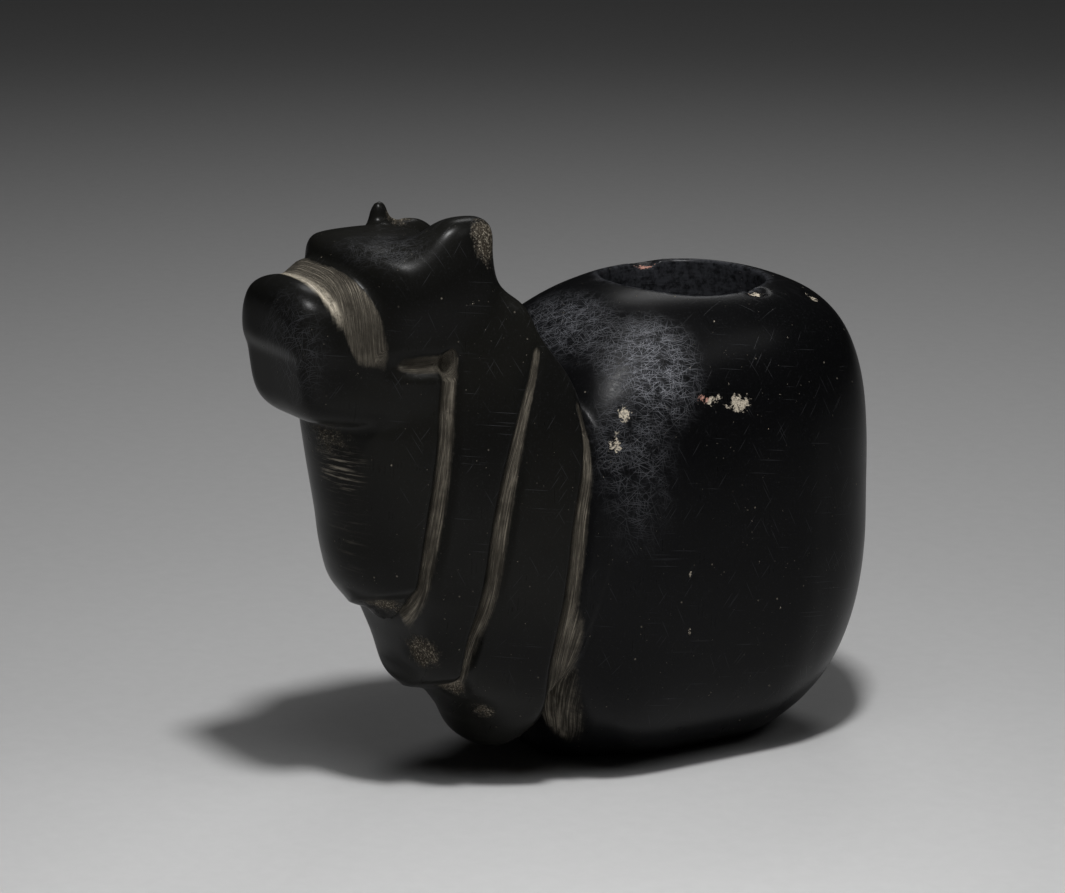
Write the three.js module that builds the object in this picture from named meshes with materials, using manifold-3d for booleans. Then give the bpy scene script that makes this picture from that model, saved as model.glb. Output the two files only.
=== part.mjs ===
// Small carved stone alpaca with a round well sunk into its back.
// Sizes are in millimetres, up is +Z and the face looks along -Y.
import * as THREE from "three";
import { edgeTable, triTable } from "three/addons/objects/MarchingCubes.js";
import { mergeVertices } from "three/addons/utils/BufferGeometryUtils.js";
import Module from "manifold-3d";

// Body: a rounded block, boxy in front and rounder behind, cut flat where it stands on z = 0.
const BODY_HALF_WIDTH = 24;
const BODY_FRONT_REACH = 31;
const BODY_REAR_REACH = 27.8;
const BODY_MIDDLE_Y = -1;
const BODY_TOP_Z = 69.5;
const BODY_WIDEST_Z = 33.5;
const BODY_TOP_SLOPE = 0.05;
const BASE_CUT = 1.9;

// Roundness as a power: 2 is an ellipse, more is boxier.
const BODY_PLAN_POWER = { front: 6, shoulder: 2.4, rear: 2.5 };
const BODY_SIDE_POWER = { base: 2.4, baseFront: 5, topFront: 2.8, topRear: 3.9 };
const HOOD_POWER = { plan: 2.9, side: 3.6 };
const EAR_POWER = { plan: 2.6, side: 2.8 };
const STUB_POWER = { plan: 2, side: 2 };
const NECK_POWER = 2;
const JAW_POWER = 4;
const NOSE_POWER = 2.5;
const BRIDGE_POWER = 3;

// Well in the middle of the back, drilled straight down on the z axis.
const WELL_RADIUS = 12;
const WELL_DEPTH = 43.5;
const WELL_FLOOR_ROUNDING = 5;

// Neck and chest: half an ellipse in plan. Half width, front and nape are given as [height, size].
const NECK_WIDEST_Y = -24;
const NECK_HALF_WIDTH = [
  [0, 8], [4, 12], [10, 16.5], [18, 20], [28, 22], [43, 22.2], [54, 20.8], [64, 18.2], [76, 14.5],
];
const NECK_FRONT = [
  [0, -31], [2, -34.4], [4.5, -37.8], [8.5, -40.4], [12, -43], [16, -47], [20.4, -50], [24, -51.8],
  [27.3, -54.4], [30.5, -57], [34.2, -58.6], [41, -59.8], [47, -60.9], [54, -62.2],
];
const NECK_NAPE = [[36, -29.5], [52, -28.2], [61.5, -30.6], [66.4, -33.6], [71, -35.5], [77, -40.5]];
const NECK_REAR_Y = -18;
const NECK_TOP_Z = 74;
const NAPE_START_Z = 34;
const NAPE_RUN = 16;

// Underside of the chest: a keel that climbs to the sides and to the body.
const KEEL_Z = 2.6;
const KEEL_LOWEST_Y = -36;
const KEEL_SIDE_RISE = 4;
const KEEL_SIDE_WIDTH = 12;
const KEEL_REAR_RISE = 0.2;

// Fleece tiers on the chest: the height of the upper two hems in front, which climb to the animal's left,
// how far each stands out above and is cut back below, and the groove line behind each tier as [height, y].
const TIER_HEM_Z = [27.2, 13.2];
const TIER_HEM_LIP = [0.7, 2.3];
const TIER_HEM_HOLLOW = [0.9, 0.8];
const HEM_TILT = 0.35;
const HEM_FULL_HEIGHT = 2;
const HEM_LIP_HEIGHT = 11;
const HEM_HOLLOW_HEIGHT = 6;
const TIER_GROOVES = [
  [[15, -49], [19, -50], [24, -50.7], [33.5, -51.2], [42.6, -50.2], [55, -48.8], [66, -47.6]],
  [
    [8, -38.5], [12, -41.6], [16, -43.6], [20, -44.2], [28, -43.6],
    [45, -41.4], [56, -38.6], [64, -35.7], [70, -34.5],
  ],
  [[0, -27.5], [4, -28.6], [10, -31], [17, -32.6], [29, -32], [41, -30.7], [52, -29.3], [61.5, -31]],
];
const GROOVE_HALF_WIDTH = 2;
const GROOVE_DEPTH = 1.7;
const GROOVE_LEAST_FACING = 0.6;
const GROOVE_LEAST_WIDTH = 0.6;
const GROOVE_LEAST_DEPTH = 0.3;
const GROOVE_FOOT_FLARE = 2;

// Each groove starts between the first two heights, is full to the third and has run out at the fourth.
const FIRST_GROOVE_RUN = [15, 18, 64, 67];
const SECOND_GROOVE_RUN = [13, 16, 44, 66];
const THIRD_GROOVE_RUN = [0, 2, 38, 58];

// Head: a hood of fleece over a blunt face that looks slightly upwards.
const HOOD_Y = -48.4;
const HOOD_Z = 68;
const HOOD_HALF_WIDTH = 14.2;
const HOOD_HALF_LENGTH = 11.6;
const HOOD_HALF_HEIGHT = 12.4;
const HOOD_LEAN = 0.22;
const HOOD_FRONT_Y = HOOD_Y - 11.4;
const HOOD_FRONT_SWEEP = 0.027;
const HOOD_FRONT_ROUNDING = 2.2;
const FACE_Y = HOOD_Y - 9.6;
const FACE_Z = HOOD_Z;
const FACE_TILT = THREE.MathUtils.degToRad(12);
const FACE_ROOT = 8;
const JAW_HALF_WIDTH = 9.3;
const JAW_REACH = 10;
const JAW_DROP = 13.3;
const CHIN_SETBACK = 0.15;
const CHIN_ROUNDING = 3;
const MOUTH_DROP = 4;
const NOSE_HALF_WIDTH = 9.9;
const NOSE_REACH = 10.8;
const NOSE_RISE = 6.3;
const NOSE_LENGTH = 8;
const NOSE_ROUNDING = 5.4;
const BRIDGE_HALF_WIDTH = 8.2;
const BRIDGE_REACH = 9;
const BRIDGE_RISE = 6.3;
const BRIDGE_SLOPE = 0.8;
const CHEEK_FLARE = 0.4;
const CHEEK_GROOVE_Z = HOOD_Z - 3.7;
const CHEEK_GROOVE_HALF_WIDTH = 2.3;
const CHEEK_GROOVE_DEPTH = 1.3;

// Ears: a whole one on the animal's left, and a stub with a low ragged ridge behind it on the right.
const EAR_X = 10.9;
const EAR_Y = HOOD_Y + 4.8;
const EAR_RISE = 15.8;
const EAR_TIP_Z = HOOD_Z + EAR_RISE;
const EAR_HALF_SIZE = [3.5, 5.4, 6.2];
const EAR_LEAN = 0.3;
const STUB_Y = HOOD_Y + 4;
const STUB_RISE = 14.4;
const STUB_TIP_Z = HOOD_Z + STUB_RISE;
const STUB_HALF_SIZE = [1.5, 1.8, 4];
const RIDGE_HALF_SIZE = [2.8, 6, 4.6];
const RIDGE_BACK = 3.8;
const RIDGE_DROP = 2.8;

// Widths of the rounded joints where one form runs into the next.
const HOOD_JOINT = 4;
const FACE_JOINT = 0.9;
const MOUTH_JOINT = 1.4;
const EAR_JOINT = 6;
const STUB_JOINT = 2;
const BODY_JOINT = 2;

// Surface mesh: the grid that the form is read on, and the triangles that are kept of it.
const GRID_STEP = 0.8;
const GRID_MARGIN = 4;
const GRID_BLOCK = 4;
const STONE_TRIANGLES = 8800;
const WELL_SIDES = 40;

const { abs, cos, hypot, max, min, pow, sin } = Math;
const { clamp, lerp, smoothstep } = THREE.MathUtils;

// The lesser of two distances, with a rounded joint of the given width.
function softMin(a, b, joint) {
  const near = max(joint - abs(a - b), 0) / joint;
  return min(a, b) - near * near * joint * 0.25;
}

function softMax(a, b, joint) {
  return -softMin(-a, -b, joint);
}

// A smooth curve through [height, size] stations, level beyond both ends.
function curve(stations) {
  const last = stations.length - 1;
  const slope = (i, j) => (stations[j][1] - stations[i][1]) / (stations[j][0] - stations[i][0]);
  const slopes = stations.map(([at], i) => {
    if (i === 0 || i === last) {
      return i === 0 ? slope(0, 1) : slope(last - 1, last);
    }
    const below = at - stations[i - 1][0];
    const above = stations[i + 1][0] - at;
    return (slope(i - 1, i) * above + slope(i, i + 1) * below) / (below + above);
  });
  return (height) => {
    const at = clamp(height, stations[0][0], stations[last][0]);
    let i = 0;
    while (i < last - 1 && at > stations[i + 1][0]) {
      i += 1;
    }
    const span = stations[i + 1][0] - stations[i][0];
    const t = (at - stations[i][0]) / span;
    const s = 1 - t;
    const start = stations[i][1] * (1 + 2 * t) + slopes[i] * span * t;
    const end = stations[i + 1][1] * (3 - 2 * t) - slopes[i + 1] * span * s;
    return start * s * s + end * t * t;
  };
}

const neckHalfWidth = curve(NECK_HALF_WIDTH);
const neckFront = curve(NECK_FRONT);
const neckNape = curve(NECK_NAPE);
const grooveLines = TIER_GROOVES.map(curve);

// Distance from a closed rounded form with three half sizes, exact enough near its surface.
function egg([x, y, z], [a, b, c], { plan, side }) {
  const round = pow(pow(abs(x / a), plan) + pow(abs(y / b), plan), 1 / plan);
  const scale = pow(pow(round, side) + pow(abs(z / c), side), 1 / side);
  return hypot(x, y, z) * (1 - 1 / max(scale, 1e-6));
}

// Distance from an oval tube with two half sizes.
function oval(x, z, a, b, power) {
  const scale = pow(pow(abs(x / a), power) + pow(abs(z / b), power), 1 / power);
  return hypot(x, z) * (1 - 1 / max(scale, 1e-6));
}

function body(x, y, z) {
  const along = y - BODY_MIDDLE_Y;
  const rearward = smoothstep(along, -12, 12);
  const reach = lerp(BODY_FRONT_REACH, BODY_REAR_REACH, rearward);
  const level = z - BODY_WIDEST_Z;
  const up = level + BODY_TOP_SLOPE * along * smoothstep(level, 0, 25);
  const upward = smoothstep(up, -6, 6);
  const side = abs(x) / BODY_HALF_WIDTH;
  const end = abs(along) / reach;
  const frontward = smoothstep(end / (side + end + 1e-6), 0.5, 0.95) * (1 - rearward);
  const frontPlan = lerp(BODY_PLAN_POWER.front, BODY_PLAN_POWER.shoulder, smoothstep(up, 12, 34));
  const base = lerp(BODY_SIDE_POWER.base, BODY_SIDE_POWER.baseFront, frontward);
  const top = lerp(BODY_SIDE_POWER.topFront, BODY_SIDE_POWER.topRear, rearward);
  const halfHeight = lerp(BODY_WIDEST_Z + BASE_CUT, BODY_TOP_Z - BODY_WIDEST_Z, upward);
  return egg([x, along, up], [BODY_HALF_WIDTH, reach, halfHeight], {
    plan: lerp(frontPlan, BODY_PLAN_POWER.rear, rearward),
    side: lerp(base, top, upward),
  });
}

// How far a tier's hem stands out at a height above it, and how far the stone below it is cut back.
function hemStep(tier, above) {
  const out = smoothstep(above, -0.8, 0.8);
  const lip = out * (1 - smoothstep(above, HEM_FULL_HEIGHT, HEM_LIP_HEIGHT));
  const hollow = (1 - out) * (1 - smoothstep(-above, 0, HEM_HOLLOW_HEIGHT));
  return TIER_HEM_LIP[tier] * lip - TIER_HEM_HOLLOW[tier] * hollow;
}

function neck(x, y, z) {
  const spread = pow(x / KEEL_SIDE_WIDTH, 2);
  let front = neckFront(z);
  TIER_HEM_Z.forEach((hem, i) => {
    const onTier = 1 - smoothstep(y - grooveLines[i](z), -0.8, 0.8);
    front -= onTier * hemStep(i, z - hem - HEM_TILT * x);
  });
  const ahead = max(NECK_WIDEST_Y - y, 0);
  const round = oval(x, ahead, neckHalfWidth(z), NECK_WIDEST_Y - front, NECK_POWER);
  const keel = KEEL_Z + KEEL_SIDE_RISE * spread + KEEL_REAR_RISE * pow(max(y - KEEL_LOWEST_Y, 0), 2);
  const above = softMax(round, keel - z, 3);
  const rear = lerp(NECK_REAR_Y, neckNape(z), smoothstep(z, NAPE_START_Z, NAPE_START_Z + NAPE_RUN));
  return softMax(softMax(above, y - rear, 2.5), z - NECK_TOP_Z, 4);
}

// Hood of fleece, cut off in front by an upright face that sweeps back to the sides.
function hood(x, y, z) {
  const up = z - HOOD_Z;
  const along = y - HOOD_Y + HOOD_LEAN * up;
  const whole = egg([x, along, up], [HOOD_HALF_WIDTH, HOOD_HALF_LENGTH, HOOD_HALF_HEIGHT], HOOD_POWER);
  return softMax(whole, HOOD_FRONT_Y + HOOD_FRONT_SWEEP * x * x - y, HOOD_FRONT_ROUNDING);
}

// Jaw, nose pad over the mouth line, and the lower and narrower bridge that widens towards the cheeks.
function face(x, y, z) {
  const out = FACE_Y - y;
  const up = (z - FACE_Z) * cos(FACE_TILT) - out * sin(FACE_TILT);
  const flare = CHEEK_FLARE * clamp(NOSE_LENGTH - 0.5 - out, 0, 11);
  const jawHalf = JAW_DROP / 2 + 1;
  const chin = JAW_REACH - CHIN_SETBACK * max(-MOUTH_DROP - up, 0);
  const jaw = oval(x, up + JAW_DROP - jawHalf, JAW_HALF_WIDTH + 0.7 * flare, jawHalf, JAW_POWER);
  const noseHalf = NOSE_RISE + 0.6;
  let nose = oval(x, up + noseHalf - NOSE_RISE, NOSE_HALF_WIDTH, noseHalf, NOSE_POWER);
  nose = softMax(nose, out - NOSE_REACH, NOSE_ROUNDING);
  nose = softMax(nose, -MOUTH_DROP - up, 1.6);
  nose = softMax(nose, NOSE_REACH - NOSE_LENGTH + 0.25 * up - out, 1.6);
  const rise = BRIDGE_RISE + clamp(BRIDGE_SLOPE * (5 - out), -4, 2.4);
  const bridge = oval(x, up + 1, BRIDGE_HALF_WIDTH + flare, rise + 1, BRIDGE_POWER);
  const muzzle = softMin(softMax(jaw, out - chin, CHIN_ROUNDING), nose, MOUTH_JOINT);
  const front = softMin(muzzle, softMax(bridge, out - BRIDGE_REACH, 2), 1);
  return softMax(front, -out - FACE_ROOT, 2);
}

// The ear that is left, leaning back towards its tip.
function wholeEar(x, y, z) {
  const down = EAR_TIP_Z - z;
  return egg([x - EAR_X, y - EAR_Y + EAR_LEAN * down, EAR_HALF_SIZE[2] - down], EAR_HALF_SIZE, EAR_POWER);
}

function brokenEar(x, y, z) {
  const [across, along] = [x + EAR_X, y - STUB_Y];
  const stub = egg([across, along, z - STUB_TIP_Z + STUB_HALF_SIZE[2]], STUB_HALF_SIZE, STUB_POWER);
  const ridgeZ = STUB_TIP_Z - RIDGE_DROP - RIDGE_HALF_SIZE[2];
  const ridge = egg([across, along - RIDGE_BACK, z - ridgeZ], RIDGE_HALF_SIZE, STUB_POWER);
  return softMin(stub, ridge, STUB_JOINT);
}

// A smooth trough, 1 deep in its middle and level beyond its half width.
function dip(offset, halfWidth) {
  const inside = max(1 - pow(offset / halfWidth, 2), 0);
  return inside * inside;
}

// Depth of the carved grooves: one behind each tier, tapering upwards, and a short level one under the cheek.
function grooves(x, y, z) {
  const across = abs(x) / pow(neckHalfWidth(z), 2);
  const along = max(NECK_WIDEST_Y - y, 0) / pow(NECK_WIDEST_Y - neckFront(z), 2);
  const facing = max(across / (hypot(across, along) + 1e-9), GROOVE_LEAST_FACING);
  const [first, second, third] = grooveLines.map((line) => y - line(z));
  const groove = (offset, [start, full, fade, end], widening) => {
    const fading = 1 - smoothstep(z, fade, end);
    const width = GROOVE_HALF_WIDTH * facing * widening * lerp(GROOVE_LEAST_WIDTH, 1, fading);
    const depth = lerp(GROOVE_LEAST_DEPTH, 1, fading) * (1 - smoothstep(z, end - 2, end + 1));
    return dip(offset, width) * depth * smoothstep(z, start, full);
  };
  const foot = third > 0 ? 1 + GROOVE_FOOT_FLARE * (1 - smoothstep(z, 6, 30)) : 1;
  const clear = smoothstep(abs(x), 2, 8);
  const tiers = groove(first, FIRST_GROOVE_RUN, 1)
    + groove(second, SECOND_GROOVE_RUN, 1)
    + groove(third, THIRD_GROOVE_RUN, foot) * clear;
  const back = HOOD_Y - y;
  const cheek = smoothstep(back, -1.6, 0.2) * (1 - smoothstep(back, 3.6, 9.6)) * smoothstep(abs(x), 8, 11);
  return GROOVE_DEPTH * tiers + CHEEK_GROOVE_DEPTH * cheek * dip(z - CHEEK_GROOVE_Z, CHEEK_GROOVE_HALF_WIDTH);
}

function stone(x, y, z) {
  let d = softMin(neck(x, y, z), hood(x, y, z), HOOD_JOINT);
  d = softMin(d, face(x, y, z), FACE_JOINT);
  d = softMin(d, wholeEar(x, y, z), EAR_JOINT);
  d = softMin(d, brokenEar(x, y, z), STUB_JOINT);
  d = softMin(d, body(x, y, z), BODY_JOINT);
  return d + grooves(x, y, z);
}

// Corners of a grid cell, and its edges as pairs of corners, in the order of the marching cubes tables.
const CORNERS = [[0, 0, 0], [1, 0, 0], [1, 1, 0], [0, 1, 0], [0, 0, 1], [1, 0, 1], [1, 1, 1], [0, 1, 1]];
const EDGES = [
  [0, 1], [1, 2], [2, 3], [3, 0], [4, 5], [5, 6], [6, 7], [7, 4], [0, 4], [1, 5], [2, 6], [3, 7],
];
const LOW = [
  -max(BODY_HALF_WIDTH, HOOD_HALF_WIDTH, EAR_X + EAR_HALF_SIZE[0]) - GRID_MARGIN,
  FACE_Y - NOSE_REACH - GRID_MARGIN,
  -GRID_MARGIN,
];
const HIGH = [
  -LOW[0],
  BODY_MIDDLE_Y + BODY_REAR_REACH + GRID_MARGIN,
  max(EAR_TIP_Z, STUB_TIP_Z, BODY_TOP_Z, HOOD_Z + HOOD_HALF_HEIGHT) + GRID_MARGIN,
];

// The field on a grid. A block of cells far from the surface takes the value of its middle.
function gridValues(field, step, [nx, ny, nz], at) {
  const values = new Float64Array(nx * ny * nz);
  const least = 0.08 * step;
  const sample = (i, j, k) => {
    const value = field(LOW[0] + i * step, LOW[1] + j * step, LOW[2] + k * step);
    return value < 0 ? min(value, -least) : max(value, least);
  };
  const fill = (i, j, k) => {
    const middle = sample(i + GRID_BLOCK / 2, j + GRID_BLOCK / 2, k + GRID_BLOCK / 2);
    const far = abs(middle) > 2 * GRID_BLOCK * step;
    for (let c = k; c < min(k + GRID_BLOCK, nz); c += 1) {
      for (let b = j; b < min(j + GRID_BLOCK, ny); b += 1) {
        for (let a = i; a < min(i + GRID_BLOCK, nx); a += 1) {
          values[at(a, b, c)] = far ? middle : sample(a, b, c);
        }
      }
    }
  };
  for (let k = 0; k < nz; k += GRID_BLOCK) {
    for (let j = 0; j < ny; j += GRID_BLOCK) {
      for (let i = 0; i < nx; i += GRID_BLOCK) {
        fill(i, j, k);
      }
    }
  }
  return values;
}

// The zero surface of the field, by marching cubes.
function surface(field, step) {
  const size = LOW.map((low, i) => Math.ceil((HIGH[i] - low) / step) + 1);
  const at = (i, j, k) => (k * size[1] + j) * size[0] + i;
  const values = gridValues(field, step, size, at);
  const points = [];
  const triangles = [];
  const made = new Map();
  const pointOn = (p, q) => {
    const [ip, iq] = [at(...p), at(...q)];
    const key = min(ip, iq) * values.length + max(ip, iq);
    if (!made.has(key)) {
      const t = values[ip] / (values[ip] - values[iq]);
      made.set(key, points.length / 3);
      p.forEach((cell, n) => points.push(LOW[n] + (cell + t * (q[n] - cell)) * step));
    }
    return made.get(key);
  };
  const cellTriangles = (i, j, k) => {
    let kind = 0;
    CORNERS.forEach(([a, b, c], n) => {
      kind |= values[at(i + a, j + b, k + c)] < 0 ? 1 << n : 0;
    });
    if (edgeTable[kind] === 0) {
      return;
    }
    const corner = CORNERS.map(([a, b, c]) => [i + a, j + b, k + c]);
    const isCut = (n) => edgeTable[kind] & (1 << n);
    const cut = EDGES.map(([p, q], n) => (isCut(n) ? pointOn(corner[p], corner[q]) : -1));
    for (let n = kind * 16; triTable[n] !== -1; n += 3) {
      triangles.push(cut[triTable[n]], cut[triTable[n + 2]], cut[triTable[n + 1]]);
    }
  };
  for (let k = 0; k < size[2] - 1; k += 1) {
    for (let j = 0; j < size[1] - 1; j += 1) {
      for (let i = 0; i < size[0] - 1; i += 1) {
        cellTriangles(i, j, k);
      }
    }
  }
  return { points, triangles };
}

// A binary heap that gives the cheapest item first.
class Heap {
  items = [];

  push(item) {
    let i = this.items.length;
    this.items.push(item);
    while (i > 0 && this.items[(i - 1) >> 1].cost > item.cost) {
      this.items[i] = this.items[(i - 1) >> 1];
      i = (i - 1) >> 1;
    }
    this.items[i] = item;
  }

  pop() {
    const [top] = this.items;
    const item = this.items.pop();
    const size = this.items.length;
    let i = 0;
    let down = 1;
    while (down < size) {
      down += down + 1 < size && this.items[down + 1].cost < this.items[down].cost ? 1 : 0;
      if (this.items[down].cost >= item.cost) {
        break;
      }
      this.items[i] = this.items[down];
      i = down;
      down = 2 * i + 1;
    }
    if (size > 0) {
      this.items[i] = item;
    }
    return top;
  }
}

function facing([a, b, c]) {
  const [ux, uy, uz] = [b[0] - a[0], b[1] - a[1], b[2] - a[2]];
  const [vx, vy, vz] = [c[0] - a[0], c[1] - a[1], c[2] - a[2]];
  return [uy * vz - uz * vy, uz * vx - ux * vz, ux * vy - uy * vx];
}

// Sum of squared distances of a point from the planes that went into the ten sums q.
function planeError(q, [x, y, z]) {
  const alongX = x * (q[0] * x + 2 * (q[1] * y + q[2] * z + q[3]));
  const alongY = y * (q[4] * y + 2 * (q[5] * z + q[6]));
  return alongX + alongY + z * (q[7] * z + 2 * q[8]) + q[9];
}

// Closes up the least useful edges one by one, until the mesh has as many triangles as asked.
function thin({ points, triangles }, target) {
  const corners = [];
  for (let n = 0; n < points.length; n += 3) {
    corners.push(points.slice(n, n + 3));
  }
  const faces = [];
  const around = corners.map(() => new Set());
  const planes = corners.map(() => new Float64Array(10));
  const version = new Int32Array(corners.length);
  const addPlanes = (v, sums, share) => {
    sums.forEach((value, i) => {
      planes[v][i] += share * value;
    });
  };
  for (let n = 0; n < triangles.length; n += 3) {
    const ids = triangles.slice(n, n + 3);
    const [p] = ids.map((v) => corners[v]);
    const turn = facing(ids.map((v) => corners[v]));
    const size = hypot(...turn) + 1e-12;
    const [a, b, c] = turn.map((value) => value / size);
    const d = -(a * p[0] + b * p[1] + c * p[2]);
    const squares = [a * a, a * b, a * c, a * d, b * b, b * c, b * d, c * c, c * d, d * d];
    ids.forEach((v) => {
      around[v].add(faces.length);
      addPlanes(v, squares, size / 6);
    });
    faces.push(ids);
  }
  const neighbours = (v) => {
    const all = new Set();
    around[v].forEach((f) => faces[f].forEach((u) => all.add(u)));
    all.delete(v);
    return all;
  };
  const heap = new Heap();
  const pull = 1e-3;
  const lengthCost = 2e-5;
  const propose = (a, b) => {
    const q = planes[a].map((value, i) => value + planes[b][i]);
    const [pa, pb] = [corners[a], corners[b]];
    const middle = pa.map((value, i) => (value + pb[i]) / 2);
    const matrix = new THREE.Matrix3();
    matrix.set(q[0] + pull, q[1], q[2], q[1], q[4] + pull, q[5], q[2], q[5], q[7] + pull);
    const pulled = middle.map((value, i) => pull * value - q[[3, 6, 8][i]]);
    const best = new THREE.Vector3(...pulled).applyMatrix3(matrix.invert()).toArray();
    const length = hypot(pa[0] - pb[0], pa[1] - pb[1], pa[2] - pb[2]);
    const off = hypot(best[0] - middle[0], best[1] - middle[1], best[2] - middle[2]);
    const spot = off < length ? best : middle;
    const cost = planeError(q, spot) + lengthCost * length * length;
    heap.push({ a, b, spot, cost, ages: version[a] + version[b] });
  };
  // A face may turn only a little, and not shrink to nothing, when its corner moves.
  const keepsShape = (face, v, spot) => {
    const before = facing(face.map((u) => corners[u]));
    const after = facing(face.map((u) => (u === v ? spot : corners[u])));
    const sizes = hypot(...before) * hypot(...after);
    const dot = before[0] * after[0] + before[1] * after[1] + before[2] * after[2];
    return dot > 0.35 * sizes && hypot(...after) > 1e-4;
  };
  corners.forEach((_, v) => {
    [...neighbours(v)].filter((u) => u > v).forEach((u) => propose(v, u));
  });
  let left = faces.length;
  while (left > target && heap.items.length > 0) {
    const { a, b, spot, ages } = heap.pop();
    if (version[a] + version[b] !== ages || around[a].size === 0 || around[b].size === 0) {
      continue;
    }
    const nearB = neighbours(b);
    const shared = [...neighbours(a)].filter((v) => nearB.has(v));
    const spans = (f) => faces[f].includes(a) && faces[f].includes(b);
    const holds = (v) => [...around[v]].every((f) => spans(f) || keepsShape(faces[f], v, spot));
    if (shared.length !== 2 || shared.some((v) => around[v].size <= 3) || !holds(a) || !holds(b)) {
      continue;
    }
    [...around[b]].forEach((f) => {
      if (spans(f)) {
        faces[f].forEach((v) => around[v].delete(f));
        faces[f] = null;
        left -= 1;
      } else {
        faces[f][faces[f].indexOf(b)] = a;
        around[a].add(f);
      }
    });
    around[b].clear();
    addPlanes(a, planes[b], 1);
    corners[a] = spot;
    version[a] += 1;
    neighbours(a).forEach((u) => propose(a, u));
  }
  return { points: corners.flat(), triangles: faces.filter(Boolean).flat() };
}

const wasm = await Module();
wasm.setup();

function solid(points, triangles) {
  const mesh = new wasm.Mesh({
    numProp: 3,
    vertProperties: Float32Array.from(points),
    triVerts: Uint32Array.from(triangles),
  });
  return new wasm.Manifold(mesh);
}

function solidOf(geometry) {
  const bare = new THREE.BufferGeometry();
  bare.setAttribute("position", geometry.getAttribute("position"));
  bare.setIndex(geometry.index);
  const joined = mergeVertices(bare, 1e-4);
  return solid(joined.getAttribute("position").array, joined.index.array);
}

// The drilled hole, with a rounded corner round its floor, carried on above the back.
function wellCutter() {
  const floor = BODY_TOP_Z - WELL_DEPTH;
  const round = WELL_FLOOR_ROUNDING;
  const corner = new THREE.Path().absarc(WELL_RADIUS - round, floor + round, round, -Math.PI / 2, 0);
  const top = BODY_TOP_Z + 5;
  const profile = [
    new THREE.Vector2(0, floor),
    ...corner.getPoints(4),
    new THREE.Vector2(WELL_RADIUS, top),
    new THREE.Vector2(0, top),
  ];
  return solidOf(new THREE.LatheGeometry(profile, WELL_SIDES).rotateX(Math.PI / 2));
}

// Everything above the table.
function aboveTable() {
  const size = 4 * HIGH[2];
  return solidOf(new THREE.BoxGeometry(size, size, size).translate(0, 0, size / 2));
}

function carvedAlpaca() {
  const { points, triangles } = thin(surface(stone, GRID_STEP), STONE_TRIANGLES);
  const carved = solid(points, triangles).intersect(aboveTable()).subtract(wellCutter());
  const mesh = carved.getMesh();
  const geometry = new THREE.BufferGeometry();
  geometry.setAttribute("position", new THREE.BufferAttribute(mesh.vertProperties, 3));
  geometry.setIndex(new THREE.BufferAttribute(mesh.triVerts, 1));
  geometry.computeVertexNormals();
  return geometry;
}

const alpaca = new THREE.Group();
const blackStone = new THREE.MeshStandardMaterial({ color: 0x1c1c1f, roughness: 0.35, metalness: 0 });
const figure = new THREE.Mesh(carvedAlpaca(), blackStone);
figure.name = "carved_alpaca";
alpaca.add(figure);

export default alpaca;
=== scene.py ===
"""Carved black stone alpaca with a round well in its back, on a plain pale studio floor.

The form is a field of distances in millimetres, meshed finely and dressed with procedural finishes.
"""

import logging
import math
from dataclasses import dataclass, field
from enum import Enum

import bpy
import numpy as np
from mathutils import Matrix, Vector


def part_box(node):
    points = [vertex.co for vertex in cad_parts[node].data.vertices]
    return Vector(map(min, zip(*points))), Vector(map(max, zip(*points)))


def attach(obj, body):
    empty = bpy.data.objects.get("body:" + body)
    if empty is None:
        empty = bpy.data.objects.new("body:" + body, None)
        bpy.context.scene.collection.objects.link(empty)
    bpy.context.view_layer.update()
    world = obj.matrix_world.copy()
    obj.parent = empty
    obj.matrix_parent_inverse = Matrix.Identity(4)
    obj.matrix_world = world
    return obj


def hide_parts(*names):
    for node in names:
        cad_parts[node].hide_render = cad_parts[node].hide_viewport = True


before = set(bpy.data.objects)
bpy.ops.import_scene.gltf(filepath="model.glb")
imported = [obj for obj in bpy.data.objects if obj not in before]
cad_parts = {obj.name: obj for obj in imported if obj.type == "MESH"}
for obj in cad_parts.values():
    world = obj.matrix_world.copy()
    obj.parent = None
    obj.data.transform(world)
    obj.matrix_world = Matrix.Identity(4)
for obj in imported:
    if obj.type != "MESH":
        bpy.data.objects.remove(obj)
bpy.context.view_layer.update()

log = logging.getLogger("alpaca")

MM = 0.001
NODE = "carved_alpaca"
IMAGE_SIZE = (1065, 893)
TINY = 1e-9

Array = np.ndarray
Stations = tuple[tuple[float, float], ...]
Triple = tuple[float, float, float]
Colour = tuple[float, float, float]


class Body(Enum):
    """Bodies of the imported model."""

    ROOT = "root"


class Slot(Enum):
    """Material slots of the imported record."""

    STONE = "black_stone"


def blend(low: Array | float, high: Array | float, share: Array | float) -> Array:
    """Goes from low to high as share goes from 0 to 1."""
    return low + (high - low) * share


def ease(value: Array | float, low: float, high: float) -> Array:
    """Smooth step from 0 at low to 1 at high."""
    t = np.clip((value - low) / (high - low), 0.0, 1.0)
    return t * t * (3.0 - 2.0 * t)


def soft_min(a: Array, b: Array, joint: float) -> Array:
    """The lesser of two distances, with a rounded joint of the given width."""
    near = np.maximum(joint - np.abs(a - b), 0.0) / joint
    return np.minimum(a, b) - near * near * joint * 0.25


def soft_max(a: Array, b: Array, joint: float) -> Array:
    """The greater of two distances, with a rounded joint of the given width."""
    return -soft_min(-a, -b, joint)


def round_scale(a: Array, b: Array, power: Array | float) -> Array:
    """Combines two shares of a size so that 1 is on a rounded outline.

    Args:
        a: share of the first half size.
        b: share of the second half size.
        power: 2 is an ellipse, more is boxier.

    Returns:
        The scale of the outline that passes through the point.
    """
    return (np.abs(a) ** power + np.abs(b) ** power) ** (1.0 / power)


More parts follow.
